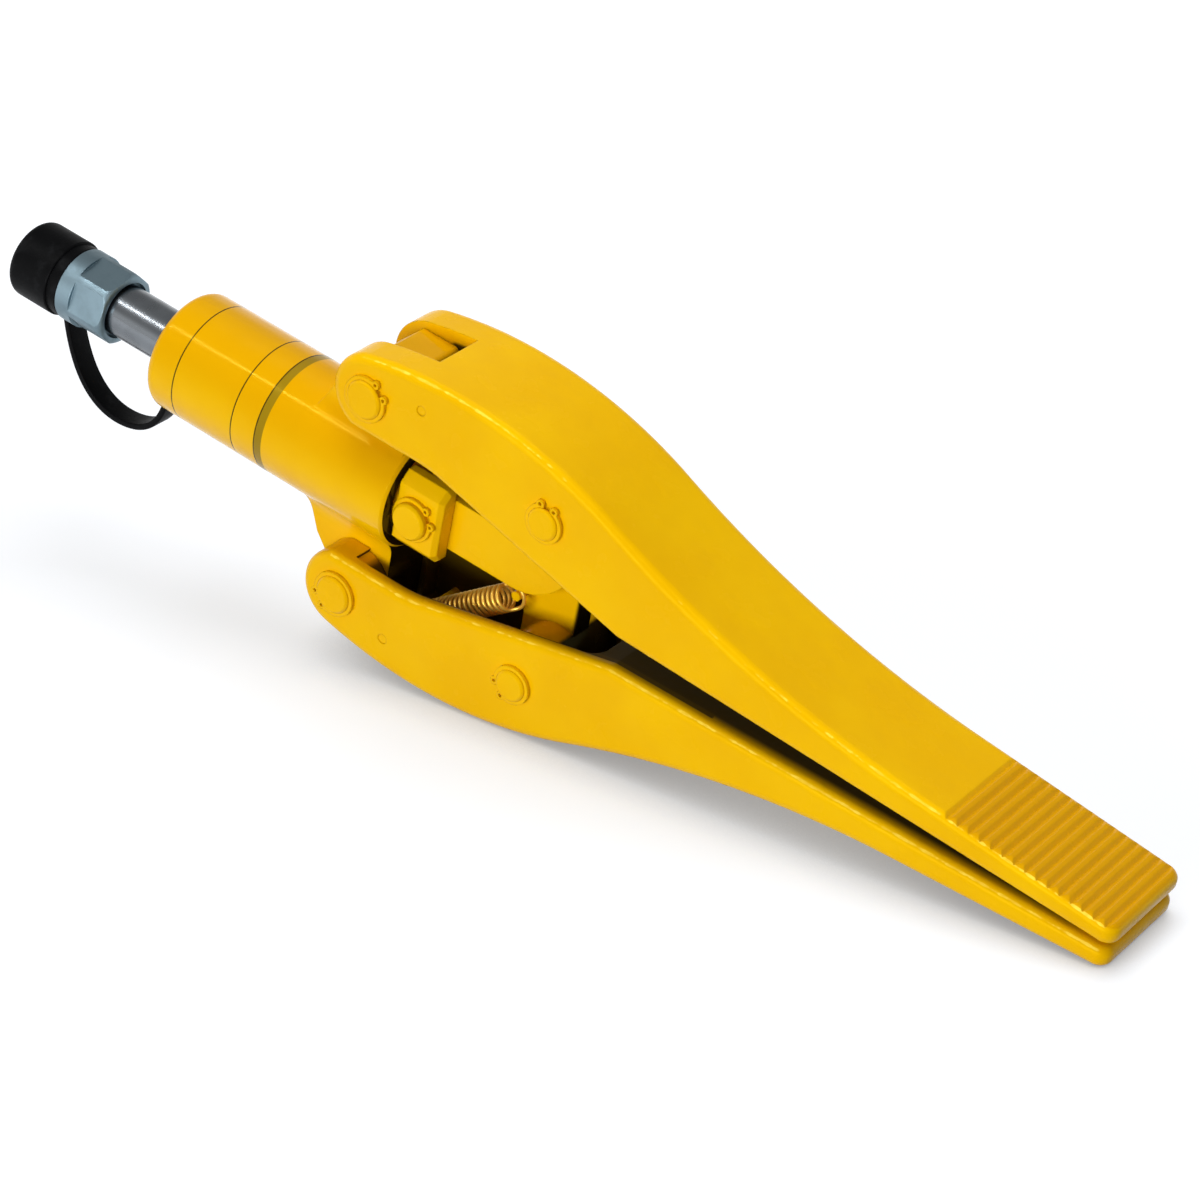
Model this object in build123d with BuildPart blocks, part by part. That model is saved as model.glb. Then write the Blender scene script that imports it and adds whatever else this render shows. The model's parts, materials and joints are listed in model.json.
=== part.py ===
from build123d import *
import os
from math import asin, atan2, cos, degrees, hypot, pi, radians, sin, sqrt, tan

os.makedirs("parts", exist_ok=True)

# Tool frame while modelling, in mm: X along the ram axis towards the jaw tips, Z up through the upper jaw,
# Y across the jaws. The origin is on the ram axis, level with the two jaw pivots.
# Only the upper half of the linkage is drawn: the lower half is the same pieces turned half round about X.

# Sizes that drive the rest.
barrel_diameter = 38.0
pivot_height = 34.4
tip_reach = 256.0
jaw_width = 39.4
tip_width = 36.6
swing_angle = 9.2

# Clearances.
running_gap = 0.05
seat_gap = 0.02
side_gap = 0.25
loop_gap = 0.35
ring_gap = 0.1

# Jaw side view: an ear round the pivot, a humped back, a hollow neck and a straight land at the tip.
# The inner edge runs along the axis under the ear, then bends down to the knee.
ear_radius = 12.8
crest_x = 29.0
crest_rise = 16.2
fall_angle = 24.0
land_angle = 4.5
tip_height = 6.8
inner_drop = 12.0
bend_x = 24.0
bend_round = 45.0
knee_x = 94.0
knee_height = 5.2
tip_gap = 0.7
edge_round = 2.6
tip_corner = 4.0

# Jaw fork, and the pocket between thin cheeks that the link and spring work in.
slot_half = 8.55
slot_end = 14.7
lip_x = 9.6
lip_rise = 9.6
boss_radius = 11.2
boss_sweep = 80.0
cheek_thickness = 4.2
pocket_front = 88.0
pocket_corner = 5.0
roof_thickness = 5.0

# Teeth across the back of each tip.
tooth_count = 15
tooth_pitch = 3.6
tooth_depth = 0.8
tooth_half = 1.2
tooth_end = 3.6

# Pins and their retaining rings.
pivot_pin_radius = 6.0
link_pin_radius = 5.0
clevis_pin_radius = 5.75
spring_pin_radius = 1.5
pin_stand = 2.0
clevis_stand = 3.2
pin_chamfer = 0.7
pin_inset = 0.2
ring_thickness = 1.1
ring_rim = 1.15
groove_depth = 0.4
ring_mouth = 2.2
ring_lug = 1.3
ring_hole = 0.5
pivot_ring_turn = -45
link_ring_turn = -3
far_ring_turn = 51
clevis_ring_turn = -60

# Link pivots.
link_pin_x = 65.0
link_pin_drop = 6.0
clevis_x = 18.3

# Links.
link_pair = 14.0
lap_gap = 0.3
arm_half = 8.5
leg_rear = 52.0
leg_front = 70.0
elbow_outer = 20.0
elbow_inner = 13.0
hub_radius = 11.2

# Ram.
barrel_front = 10.9
barrel_rear = -81.0
bore_radius = 14.3
bore_floor = -65.0
rear_round = 3.2
front_chamfer = 0.8
port_radius = 6.5
lug_rise = 10.0
lug_front = 9.3
lug_corner = 1.8
lug_top_rear = -4.0
lug_shoulder = (-18.0, 27.6)
lug_root_rear = -23.5
lug_flare = 8.0
plunger_rear = -62.0
plunger_front = 2.0
plunger_hollow = 8.0
seal_setback = 4.0
seal_land = 5.0
bore_play = 0.08
seal_play = 0.03
collar_gap = 0.9
yoke_neck = 12.4
yoke_front = 27.2
yoke_half = 12.6
yoke_seat_half = 13.4
yoke_bevel = 3.2
yoke_edge = 1.4

# Hydraulic inlet behind the barrel: lengths along the axis, then radii and the hexagon.
adaptor_length = 25.0
coupler_length = 18.0
coupler_round_length = 5.3
nose_length = 15.0
cap_floor = 4.8
adaptor_radius = 8.2
coupler_flats = 21.4
coupler_radius = 11.8
coupler_lip = 2.2
nose_radius = 9.4
spigot_length = 8.0
chamber_wall = 5.0
poppet_radius = 4.6
poppet_length = 7.5
poppet_sink = 1.0
cap_radius = 12.3
cap_rim_radius = 11.6
cap_rim_length = 3.6

# Cap strap and its ring: the strap hangs in a loop below the barrel.
strap_width = 7.4
strap_thickness = 2.0
strap_ring_width = 3.6
strap_drop = 16.4
strap_run = 9.3
strap_gap = 0.9

# Return springs.
spring_outer = 8.8
wire_diameter = 1.1
spring_turns = 15
spring_y = 3.95
spring_pin_x = 18.7
spring_pin_rise = 5.8
hook_x = 51.5
hook_height = 12.3
hook_tail = 0.9
coil_lead = 1.9

# Worked out from the sizes above.
barrel_radius = barrel_diameter / 2
link_pin_height = pivot_height - link_pin_drop
spring_pin_height = pivot_height + spring_pin_rise
inner_at_pivot = pivot_height - inner_drop
crest_height = pivot_height + crest_rise
hump_radius = (crest_x**2 + crest_rise**2 - ear_radius**2) / (2 * (crest_rise - ear_radius))
hump_centre = (crest_x, crest_height - hump_radius)
roof_radius = hump_radius - roof_thickness
lug_half = slot_half - side_gap
arm_thickness = (link_pair - lap_gap) / 2
yoke_slot_half = link_pair / 2 + side_gap
coupler_front = barrel_rear - adaptor_length
coupler_rear = coupler_front - coupler_length
nose_end = coupler_rear - nose_length
cap_end = nose_end - cap_floor
taper_rear = -ear_radius
taper_slope = (jaw_width - tip_width) / 2 / (tip_reach - taper_rear)


def half_width(x):
    """Half the jaw's width at a station along the axis."""
    return jaw_width / 2 - taper_slope * (x - taper_rear)


def hump_height(x, radius):
    """Height of an arc about the hump's centre."""
    return hump_centre[1] + sqrt(radius**2 - (x - hump_centre[0]) ** 2)


# Where the jaw's back runs: ear arc to hump at ear_meet and hump to neck at hump_end.
# The neck's radius brings the land down to the tip's height.
lean = atan2(crest_x, pivot_height - hump_centre[1])
fall = radians(fall_angle)
land = radians(land_angle)
ear_meet = (-ear_radius * sin(lean), pivot_height + ear_radius * cos(lean))
hump_end = (crest_x + hump_radius * sin(fall), hump_centre[1] + hump_radius * cos(fall))
neck_drop = hump_end[1] - (tip_reach - hump_end[0]) * tan(land) - tip_height
neck_radius = neck_drop / (cos(land) - cos(fall) - (sin(fall) - sin(land)) * tan(land))
heel = (-sqrt(ear_radius**2 - inner_drop**2), inner_at_pivot)

# The tool lies on the lower jaw's belly and tip, so it leans nose down by the slope of the line under both.
tip_round_at = (tip_reach - edge_round, edge_round / cos(land) - edge_round * tan(land) - tip_height)
span = (tip_round_at[0] - crest_x, tip_round_at[1] + hump_centre[1])
pitch = atan2(span[1], span[0]) + asin((hump_radius - edge_round) / hypot(span[0], span[1]))
floor_drop = crest_x * sin(pitch) + hump_centre[1] * cos(pitch) + hump_radius
laid = Location((0, 0, floor_drop), (0, degrees(pitch), 0))
half_turn = Location((0, 0, 0), (180, 0, 0))
pieces = []


def keep(piece, name, place=Location()):
    """Add a finished piece to the assembly."""
    solid = piece.part.moved(laid * place)
    solid.label = name
    pieces.append(solid)


def keep_pair(piece, name):
    """Add the upper piece and its twin, turned half round about the axis."""
    keep(piece, "upper_" + name)
    keep(piece, "lower_" + name, half_turn)


# Lug for a jaw pivot: its side view trimmed by an end view that flares into the barrel.
flare_y = lug_half + lug_flare
flare_z = sqrt((barrel_radius + lug_flare) ** 2 - flare_y**2)
flare_share = barrel_radius / (barrel_radius + lug_flare)
flare_foot = (flare_y * flare_share, flare_z * flare_share)
flare_top = (lug_half, flare_z)
lug_crown = pivot_height + lug_rise
lug_root = flare_foot[1]
with BuildPart() as lug:
    with BuildSketch(Plane.XZ) as lug_side:
        with BuildLine():
            Polyline(
                (lug_root_rear, lug_root),
                lug_shoulder,
                (lug_top_rear, lug_crown),
                (lug_front, lug_crown),
                (lug_front, lug_root),
                close=True,
            )
        make_face()
        fillet(lug_side.vertices().group_by(Axis.Y)[-1], lug_corner)
    extrude(amount=barrel_radius, both=True)
    with BuildSketch(Plane.YZ):
        with BuildLine():
            RadiusArc(flare_foot, flare_top, lug_flare)
            Polyline(flare_top, (lug_half, lug_crown), (0, lug_crown), (0, lug_root), flare_foot)
        make_face()
        mirror(about=Plane.YZ)
    extrude(amount=2 * barrel_diameter, both=True, mode=Mode.INTERSECT)

# Cylinder body: a barrel bored from the front, with a lug above and below for the jaw pivots.
with BuildPart() as cylinder_body:
    with BuildSketch(Plane.XZ) as barrel_section:
        with BuildLine():
            Polyline(
                (barrel_rear, port_radius),
                (barrel_rear, barrel_radius),
                (barrel_front, barrel_radius),
                (barrel_front, bore_radius),
                (bore_floor, bore_radius),
                (bore_floor, port_radius),
                close=True,
            )
        make_face()
        fillet(barrel_section.vertices().sort_by_distance((barrel_rear, barrel_radius))[0], rear_round)
        chamfer(barrel_section.vertices().sort_by_distance((barrel_front, barrel_radius))[0], front_chamfer)
    revolve(axis=Axis.X)
    add(lug.part)
    add(lug.part.moved(half_turn))
    with BuildSketch(Plane.XZ):
        with Locations((0, pivot_height), (0, -pivot_height)):
            Circle(pivot_pin_radius + running_gap)
    extrude(amount=jaw_width, both=True, mode=Mode.SUBTRACT)
keep(cylinder_body, "cylinder_body")

# Pocket in the jaw: under the back, from the boss round the pivot to a cross wall, between the cheeks.
pocket_half = half_width(pocket_front) - cheek_thickness
pocket_middle = (boss_radius + pocket_front) / 2
boss_turn = radians(boss_sweep)
boss_foot = (boss_radius * cos(boss_turn), pivot_height - boss_radius * sin(boss_turn))
with BuildPart() as pocket:
    with BuildSketch(Plane.XZ):
        with BuildLine():
            roof = ThreePointArc(
                (boss_radius, hump_height(boss_radius, roof_radius)),
                (pocket_middle, hump_height(pocket_middle, roof_radius)),
                (pocket_front, hump_height(pocket_front, roof_radius)),
            )
            Polyline(roof @ 1, (pocket_front, 0), (boss_foot[0], 0), boss_foot)
            RadiusArc(boss_foot, (boss_radius, pivot_height), -boss_radius)
            Line((boss_radius, pivot_height), roof @ 0)
        make_face()
    extrude(amount=jaw_width, both=True)
    with BuildSketch(Plane.XY) as pocket_plan:
        with Locations((pocket_front, 0)):
            Rectangle(pocket_front, 2 * pocket_half, align=(Align.MAX, Align.CENTER))
        fillet(pocket_plan.vertices().group_by(Axis.X)[-1], pocket_corner)
    extrude(amount=2 * crest_height, both=True, mode=Mode.INTERSECT)

# Jaw: the side view is pulled across the width, trimmed to the tapering plan and rounded all round its rim.
# The slot for the lug ends in a sloping lip and opens into the pocket below it.
slot_rear = -2 * ear_radius
slot_top = hump_height(slot_end, hump_radius)
lip_height = pivot_height + lip_rise
throat = boss_radius + side_gap
with BuildPart() as jaw:
    with BuildSketch(Plane.XZ):
        with BuildLine():
            hump = JernArc(ear_meet, (cos(lean), sin(lean)), hump_radius, -degrees(lean) - fall_angle)
            neck = JernArc(hump @ 1, hump % 1, neck_radius, fall_angle - land_angle)
            Polyline(neck @ 1, (tip_reach, tip_height), (tip_reach, tip_gap), (knee_x, knee_height))
            FilletPolyline((knee_x, knee_height), (bend_x, inner_at_pivot), heel, radius=bend_round)
            ThreePointArc(heel, (-ear_radius, pivot_height), ear_meet)
        make_face()
    extrude(amount=jaw_width, both=True)
    with BuildSketch(Plane.XY) as plan:
        with BuildLine():
            Polyline(
                (2 * taper_rear, -half_width(2 * taper_rear)),
                (tip_reach, -tip_width / 2),
                (tip_reach, tip_width / 2),
                (2 * taper_rear, half_width(2 * taper_rear)),
                close=True,
            )
        make_face()
        fillet(plan.vertices().group_by(Axis.X)[-1], tip_corner)
    extrude(amount=2 * crest_height, both=True, mode=Mode.INTERSECT)
    cross_edges = jaw.edges().filter_by(Axis.Y)
    tip_edges = cross_edges.filter_by(lambda edge: edge.center().X > tip_reach - tip_corner)
    fillet(jaw.edges() - cross_edges - jaw.edges().filter_by(Axis.Z) + tip_edges, edge_round)
    with BuildSketch(Plane.XZ):
        with BuildLine():
            Polyline(
                (slot_rear, 0),
                (throat, 0),
                (throat, lip_height),
                (lip_x, lip_height),
                (slot_end, slot_top),
                (2 * slot_end - lip_x, 2 * slot_top - lip_height),
                (slot_rear, 2 * slot_top - lip_height),
                close=True,
            )
        make_face()
    extrude(amount=slot_half, both=True, mode=Mode.SUBTRACT)
    add(pocket.part, mode=Mode.SUBTRACT)
    with BuildSketch(Plane.XZ):
        with Locations((0, pivot_height)):
            Circle(pivot_pin_radius + seat_gap)
        with Locations((link_pin_x, link_pin_height)):
            Circle(link_pin_radius + seat_gap)
        with Locations((spring_pin_x, spring_pin_height)):
            Circle(spring_pin_radius + seat_gap)
    extrude(amount=jaw_width, both=True, mode=Mode.SUBTRACT)
    with BuildSketch(Plane.XZ):
        for tooth in range(tooth_count):
            x = tip_reach - tooth_end - tooth * tooth_pitch
            z = tip_height + (tip_reach - x) * tan(land)
            with Locations(Location((x, z), -land_angle)):
                Polygon(
                    (-2 * tooth_half, tooth_depth),
                    (0, -tooth_depth),
                    (2 * tooth_half, tooth_depth),
                    align=None,
                )
    extrude(amount=jaw_width, both=True, mode=Mode.SUBTRACT)
keep_pair(jaw, "jaw")


def make_pin(x, z, radius, half_length, ring_face):
    """A cross pin with a groove near each end for a retaining ring, whose inner face is at ring_face."""
    with BuildPart() as pin:
        with BuildSketch(Plane.XZ):
            with Locations((x, z)):
                Circle(radius)
        extrude(amount=half_length, both=True)
        ends = pin.edges().group_by(Axis.Y)
        chamfer(ends[0] + ends[-1], pin_chamfer)
        for side in (1, -1):
            with BuildSketch(Plane.XZ.offset(side * ring_face)):
                with Locations((x, z)):
                    Circle(2 * radius)
                    Circle(radius - groove_depth, mode=Mode.SUBTRACT)
            extrude(amount=side * (ring_thickness + seat_gap), mode=Mode.SUBTRACT)
    return pin


def draw_ring(x, z, radius, turn):
    """Flat outline of a retaining ring: an open ring with a lug and a plier hole at each end."""
    outer = radius + ring_rim
    lug_side = ring_mouth / 2 + ring_lug
    with Locations(Location((x, z), turn)):
        Circle(outer)
        Circle(radius - groove_depth + seat_gap, mode=Mode.SUBTRACT)
        Rectangle(ring_mouth, 2 * outer, align=(Align.CENTER, Align.MIN), mode=Mode.SUBTRACT)
    with Locations(Location((x, z), turn)):
        with Locations((-lug_side, radius + ring_hole), (lug_side, radius + ring_hole)):
            Circle(ring_lug)
            Circle(ring_hole, mode=Mode.SUBTRACT)
        Circle(radius - groove_depth + seat_gap, mode=Mode.SUBTRACT)


def make_rings(spots):
    """Retaining rings on both ends of each pin: x, z, pin radius, inner face, near turn and far turn."""
    with BuildPart() as rings:
        for x, z, radius, face, near_turn, far_turn in spots:
            for side, turn in ((1, near_turn), (-1, far_turn)):
                with BuildSketch(Plane.XZ.offset(side * face)):
                    draw_ring(x, z, radius, turn)
                extrude(amount=side * ring_thickness)
    return rings


# Jaw pivot pins, link pins and the rings that hold them.
pivot_face = half_width(0) + ring_gap
link_face = half_width(link_pin_x) + ring_gap
pivot_pin = make_pin(0, pivot_height, pivot_pin_radius, pivot_face + pin_stand, pivot_face)
keep_pair(pivot_pin, "pivot_pin")
link_pin = make_pin(link_pin_x, link_pin_height, link_pin_radius, link_face + pin_stand, link_face)
keep_pair(link_pin, "link_pin")
jaw_rings = make_rings(
    [
        (0, pivot_height, pivot_pin_radius, pivot_face, pivot_ring_turn, far_ring_turn),
        (link_pin_x, link_pin_height, link_pin_radius, link_face, link_ring_turn, far_ring_turn),
    ]
)
keep_pair(jaw_rings, "jaw_rings")

# Pin across the jaw's cheeks that anchors the return spring.
with BuildPart() as spring_pin:
    with BuildSketch(Plane.XZ):
        with Locations((spring_pin_x, spring_pin_height)):
            Circle(spring_pin_radius)
    extrude(amount=half_width(spring_pin_x) - pin_inset, both=True)
keep_pair(spring_pin, "spring_pin")

# Link: an elbow that takes the near half of the yoke's slot, with a hub across the jaw's pocket.
with BuildPart() as link:
    with BuildSketch(Plane.XZ.offset(lap_gap / 2)) as elbow:
        with BuildLine():
            Polyline(
                (clevis_x, -arm_half),
                (leg_front, -arm_half),
                (leg_front, link_pin_height),
                (leg_rear, link_pin_height),
                (leg_rear, arm_half),
                (clevis_x, arm_half),
                close=True,
            )
        make_face()
        fillet(elbow.vertices().sort_by_distance((leg_front, -arm_half))[0], elbow_outer)
        fillet(elbow.vertices().sort_by_distance((leg_rear, arm_half))[0], elbow_inner)
        with Locations((clevis_x, 0)):
            Circle(arm_half)
    extrude(amount=arm_thickness)
    with BuildSketch(Plane.XZ):
        with Locations((link_pin_x, link_pin_height)):
            Circle(hub_radius)
    extrude(amount=pocket_half - side_gap, both=True)
    with BuildSketch(Plane.XZ):
        with Locations((link_pin_x, link_pin_height)):
            Circle(link_pin_radius + running_gap)
        with Locations((clevis_x, 0)):
            Circle(clevis_pin_radius + loop_gap)
        with Locations((hook_x, hook_height)):
            Circle(spring_pin_radius + seat_gap)
    extrude(amount=jaw_width, both=True, mode=Mode.SUBTRACT)
keep_pair(link, "link")

# Short pin on the link that the spring's front hook goes round.
with BuildPart() as hook_pin:
    with BuildSketch(Plane.XZ.offset(link_pair / 2 - pin_inset)):
        with Locations((hook_x, hook_height)):
            Circle(spring_pin_radius)
    extrude(amount=-(link_pair / 2 - pin_inset + spring_y + wire_diameter))
keep_pair(hook_pin, "hook_pin")


def biarc(start, start_way, end, end_way):
    """Two arcs that leave start along start_way and reach end along end_way, tangent where they meet."""
    gap = end - start
    both = start_way + end_way
    turn = 2 * (1 - start_way.dot(end_way))
    if turn < 1e-6:
        reach_out = gap.dot(gap) / (4 * gap.dot(end_way))
    else:
        lead = gap.dot(both)
        reach_out = (sqrt(lead**2 + turn * gap.dot(gap)) - lead) / turn
    meet_way = (end - end_way * reach_out) - (start + start_way * reach_out)
    meet = start + start_way * reach_out + meet_way * 0.5
    TangentArc(start, meet, tangent=start_way)
    TangentArc(meet, end, tangent=meet_way.normalized())


def least_gap(wire, diameter):
    """Least clear distance of a tube to itself, from points along its middle line."""
    count = 40 * spring_turns
    points = [wire @ (k / count) for k in range(count + 1)]
    step = wire.length / count
    skip = int(pi * diameter / step) + 1
    return min(
        (points[i] - points[j]).length - diameter
        for i in range(count)
        for j in range(i + skip, count + 1)
    )


# Return spring: one unbroken wire, hooked over the jaw's pin, coiled, and hooked over the link's pin.
spring_reach = hypot(hook_x - spring_pin_x, hook_height - spring_pin_height)
along = Vector((hook_x - spring_pin_x) / spring_reach, 0, (hook_height - spring_pin_height) / spring_reach)
across = Vector(0, 1, 0)
upright = along.cross(across)
coil_radius = (spring_outer - wire_diameter) / 2
eye_end = spring_pin_radius + running_gap + wire_diameter / 2
bend_angle = 24.0
coil_start = coil_radius - eye_end + coil_lead


def spring_point(s, u, v):
    """Point of the spring: s along it from the jaw's pin, u across the jaws, v the third way."""
    return Vector(spring_pin_x, spring_y, spring_pin_height) + along * s + across * u + upright * v


def coil_stop(angle):
    """Place and direction on the coil at an angle counted from its first bottom."""
    whole = 360 * spring_turns - 2 * bend_angle
    coil_pitch = (spring_reach - 2 * coil_start) / whole
    turn = radians(angle)
    place = spring_point(
        coil_start + coil_pitch * (angle - bend_angle), coil_radius * sin(turn), -coil_radius * cos(turn)
    )
    round_coil = across * cos(turn) + upright * sin(turn)
    way = along * degrees(coil_pitch) + round_coil * coil_radius
    return (place, way.normalized())


arch = coil_radius - eye_end
last = 360 * spring_turns - bend_angle
stops = [
    (spring_point(arch + hook_tail, 0, coil_radius), -along),
    (spring_point(arch, 0, coil_radius), -along),
    (spring_point(-eye_end, 0, 0), -upright),
    (spring_point(arch, 0, -coil_radius), along),
    coil_stop(bend_angle),
]
stops += [coil_stop(180 * half) for half in range(1, 2 * spring_turns)]
stops += [
    coil_stop(last),
    (spring_point(spring_reach - arch, 0, -coil_radius), along),
    (spring_point(spring_reach + eye_end, 0, 0), upright),
    (spring_point(spring_reach - arch, 0, coil_radius), -along),
    (spring_point(spring_reach - arch - hook_tail, 0, coil_radius), -along),
]
with BuildPart() as return_spring:
    with BuildLine() as spring_wire:
        Line(stops[0][0], stops[1][0])
        for first, second in zip(stops[1:-2], stops[2:-1]):
            biarc(first[0], first[1], second[0], second[1])
        Line(stops[-2][0], stops[-1][0])
    with BuildSketch(Plane(origin=spring_wire.wire() @ 0, z_dir=spring_wire.wire() % 0)):
        Circle(wire_diameter / 2)
    sweep()
print("return spring least gap to itself", round(least_gap(spring_wire.wire(), wire_diameter), 3))
keep_pair(return_spring, "return_spring")

# Plunger: a hollow ram with grooves for its seal and wear ring, tapped at the front for the yoke.
plunger_radius = bore_radius - bore_play
seal_from = plunger_rear + seal_setback
seal_width = 5.0
seal_depth = 2.4
wear_from = seal_from + seal_width + seal_land
wear_width = 6.0
wear_depth = 1.4
end_play = 0.1
lip_thickness = 0.7
stud_radius = 6.0
stud_length = 10.0
stud_runout = 0.5
plunger_web = 8.0
with BuildPart() as plunger:
    with BuildSketch(Plane.XZ):
        with Locations((plunger_rear, 0)):
            Rectangle(plunger_front - plunger_rear, plunger_radius, align=Align.MIN)
            Rectangle(
                plunger_front - plunger_rear - stud_length - plunger_web,
                plunger_hollow,
                align=Align.MIN,
                mode=Mode.SUBTRACT,
            )
        with Locations((plunger_front, 0)):
            Rectangle(
                stud_length + stud_runout,
                stud_radius + seat_gap,
                align=(Align.MAX, Align.MIN),
                mode=Mode.SUBTRACT,
            )
        with Locations((seal_from, plunger_radius)):
            Rectangle(seal_width, 2 * seal_depth, align=(Align.MIN, Align.CENTER), mode=Mode.SUBTRACT)
        with Locations((wear_from, plunger_radius)):
            Rectangle(wear_width, 2 * wear_depth, align=(Align.MIN, Align.CENTER), mode=Mode.SUBTRACT)
    revolve(axis=Axis.X)
keep(plunger, "plunger")

# Lip seal, open towards the oil, and the wear ring in front of it.
with BuildPart() as plunger_seal:
    with BuildSketch(Plane.XZ):
        with BuildLine():
            low = plunger_radius - seal_depth + seat_gap
            high = bore_radius - seal_play
            seal_rear = seal_from + end_play
            seal_front = seal_from + seal_width - end_play
            Polyline(
                (seal_rear, low),
                (seal_front, low),
                (seal_front, high),
                (seal_rear, high),
                (seal_rear, high - lip_thickness),
                (seal_from + seal_width / 2, (low + high) / 2),
                (seal_rear, low + lip_thickness),
                close=True,
            )
        make_face()
    revolve(axis=Axis.X)
keep(plunger_seal, "plunger_seal")

with BuildPart() as plunger_wear_ring:
    with BuildSketch(Plane.XZ):
        wear_inner = plunger_radius - wear_depth + seat_gap
        with Locations((wear_from + end_play, wear_inner)):
            Rectangle(wear_width - 2 * end_play, bore_radius - seal_play - wear_inner, align=Align.MIN)
    revolve(axis=Axis.X)
keep(plunger_wear_ring, "plunger_wear_ring")

# Yoke: a fork screwed into the plunger, with broad bevels along it and a smaller one round its front.
collar_rear = barrel_front + collar_gap
fork_gap = 0.7
fork_floor = clevis_x - arm_half - fork_gap
with BuildPart() as plunger_yoke:
    with BuildSketch(Plane.YZ.offset(collar_rear)) as yoke_section:
        Rectangle(2 * yoke_seat_half, 2 * yoke_half)
        chamfer(yoke_section.vertices(), yoke_bevel)
    extrude(amount=yoke_front - collar_rear)
    chamfer(plunger_yoke.edges().group_by(Axis.X)[-1], yoke_edge)
    with BuildSketch(Plane.XZ):
        with BuildLine():
            Polyline(
                (plunger_front - stud_length, 0),
                (plunger_front - stud_length, stud_radius),
                (plunger_front, stud_radius),
                (plunger_front, yoke_neck),
                (collar_rear, yoke_neck),
                (collar_rear, 0),
                close=True,
            )
        make_face()
    revolve(axis=Axis.X)
    with BuildSketch(Plane.XY):
        with Locations((fork_floor, 0)):
            Rectangle(2 * yoke_front, 2 * yoke_slot_half, align=(Align.MIN, Align.CENTER))
    extrude(amount=2 * barrel_radius, both=True, mode=Mode.SUBTRACT)
    with BuildSketch(Plane.XZ):
        with Locations((clevis_x, 0)):
            Circle(clevis_pin_radius + seat_gap)
    extrude(amount=2 * barrel_radius, both=True, mode=Mode.SUBTRACT)
keep(plunger_yoke, "plunger_yoke")

# Clevis pin through the yoke and both links, with its rings.
clevis_face = yoke_seat_half + ring_gap
clevis_pin = make_pin(clevis_x, 0, clevis_pin_radius, clevis_face + clevis_stand, clevis_face)
keep(clevis_pin, "clevis_pin")
clevis_rings = make_rings(
    [(clevis_x, 0, clevis_pin_radius, clevis_face, clevis_ring_turn, clevis_ring_turn)]
)
keep(clevis_rings, "clevis_rings")

# Inlet adaptor: threaded into the barrel's rear wall and into the coupler, with an oil way through it.
recess_depth = 2.2
recess_gap = 1.0
spigot_radius = 6.2
spigot_end = coupler_front - recess_depth - spigot_length
oil_way = 3.0
port_step = 1.0
with BuildPart() as inlet_adaptor:
    with BuildSketch(Plane.XZ):
        with BuildLine():
            Polyline(
                (bore_floor - port_step, oil_way),
                (bore_floor - port_step, port_radius - seat_gap),
                (barrel_rear, port_radius - seat_gap),
                (barrel_rear, adaptor_radius),
                (coupler_front - recess_depth, adaptor_radius),
                (coupler_front - recess_depth, spigot_radius),
                (spigot_end, spigot_radius),
                (spigot_end, oil_way),
                close=True,
            )
        make_face()
    revolve(axis=Axis.X)
keep(inlet_adaptor, "inlet_adaptor")

# Coupler: turned from bar, with six flats on its front part, a recess round the adaptor
# and a nose for the hose.
chamber_floor = spigot_end - chamber_wall
coupler_chamfer = 0.7
flats_turn = 15.0
with BuildPart() as coupler_body:
    with BuildSketch(Plane.XZ) as coupler_section:
        with BuildLine():
            Polyline(
                (coupler_front, 0),
                (coupler_front, coupler_radius),
                (coupler_rear, coupler_radius),
                (coupler_rear, nose_radius),
                (nose_end, nose_radius),
                (nose_end, 0),
                close=True,
            )
        make_face()
        corners = coupler_section.vertices()
        fillet(corners.sort_by_distance((coupler_front, coupler_radius))[0], coupler_lip)
        chamfer(corners.sort_by_distance((coupler_rear, coupler_radius))[0], coupler_chamfer)
    revolve(axis=Axis.X)
    with BuildSketch(Plane.YZ.offset(coupler_rear + coupler_round_length)):
        Circle(2 * coupler_radius)
        RegularPolygon(coupler_flats / 2, 6, major_radius=False, rotation=flats_turn, mode=Mode.SUBTRACT)
    extrude(amount=coupler_length, mode=Mode.SUBTRACT)
    with BuildSketch(Plane.XZ):
        with Locations((coupler_front, 0)):
            Rectangle(recess_depth, adaptor_radius + recess_gap, align=(Align.MAX, Align.MIN))
            Rectangle(
                coupler_front - spigot_end + end_play,
                spigot_radius + seat_gap,
                align=(Align.MAX, Align.MIN),
            )
        with Locations((nose_end, 0)):
            Rectangle(spigot_end - nose_end, oil_way, align=Align.MIN)
            Rectangle(chamber_floor - nose_end, poppet_radius + bore_play, align=Align.MIN)
    revolve(axis=Axis.X, mode=Mode.SUBTRACT)
keep(coupler_body, "coupler_body")

# Check poppet in the coupler's mouth and the spring behind it.
poppet_rear = nose_end + poppet_sink
poppet_front = poppet_rear + poppet_length
poppet_chamfer = 1.5
with BuildPart() as coupler_poppet:
    with BuildSketch(Plane.XZ):
        with BuildLine():
            Polyline(
                (poppet_rear, 0),
                (poppet_rear, poppet_radius - poppet_chamfer),
                (poppet_rear + poppet_chamfer, poppet_radius),
                (poppet_front, poppet_radius),
                (poppet_front, 0),
                close=True,
            )
        make_face()
    revolve(axis=Axis.X)
keep(coupler_poppet, "coupler_poppet")

poppet_wire = 0.9
poppet_coil = poppet_radius - side_gap - poppet_wire / 2
poppet_turns = 3
poppet_from = poppet_front + poppet_wire / 2 + running_gap
poppet_rise = (chamber_floor - poppet_wire - 2 * running_gap - poppet_front) / poppet_turns


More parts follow.
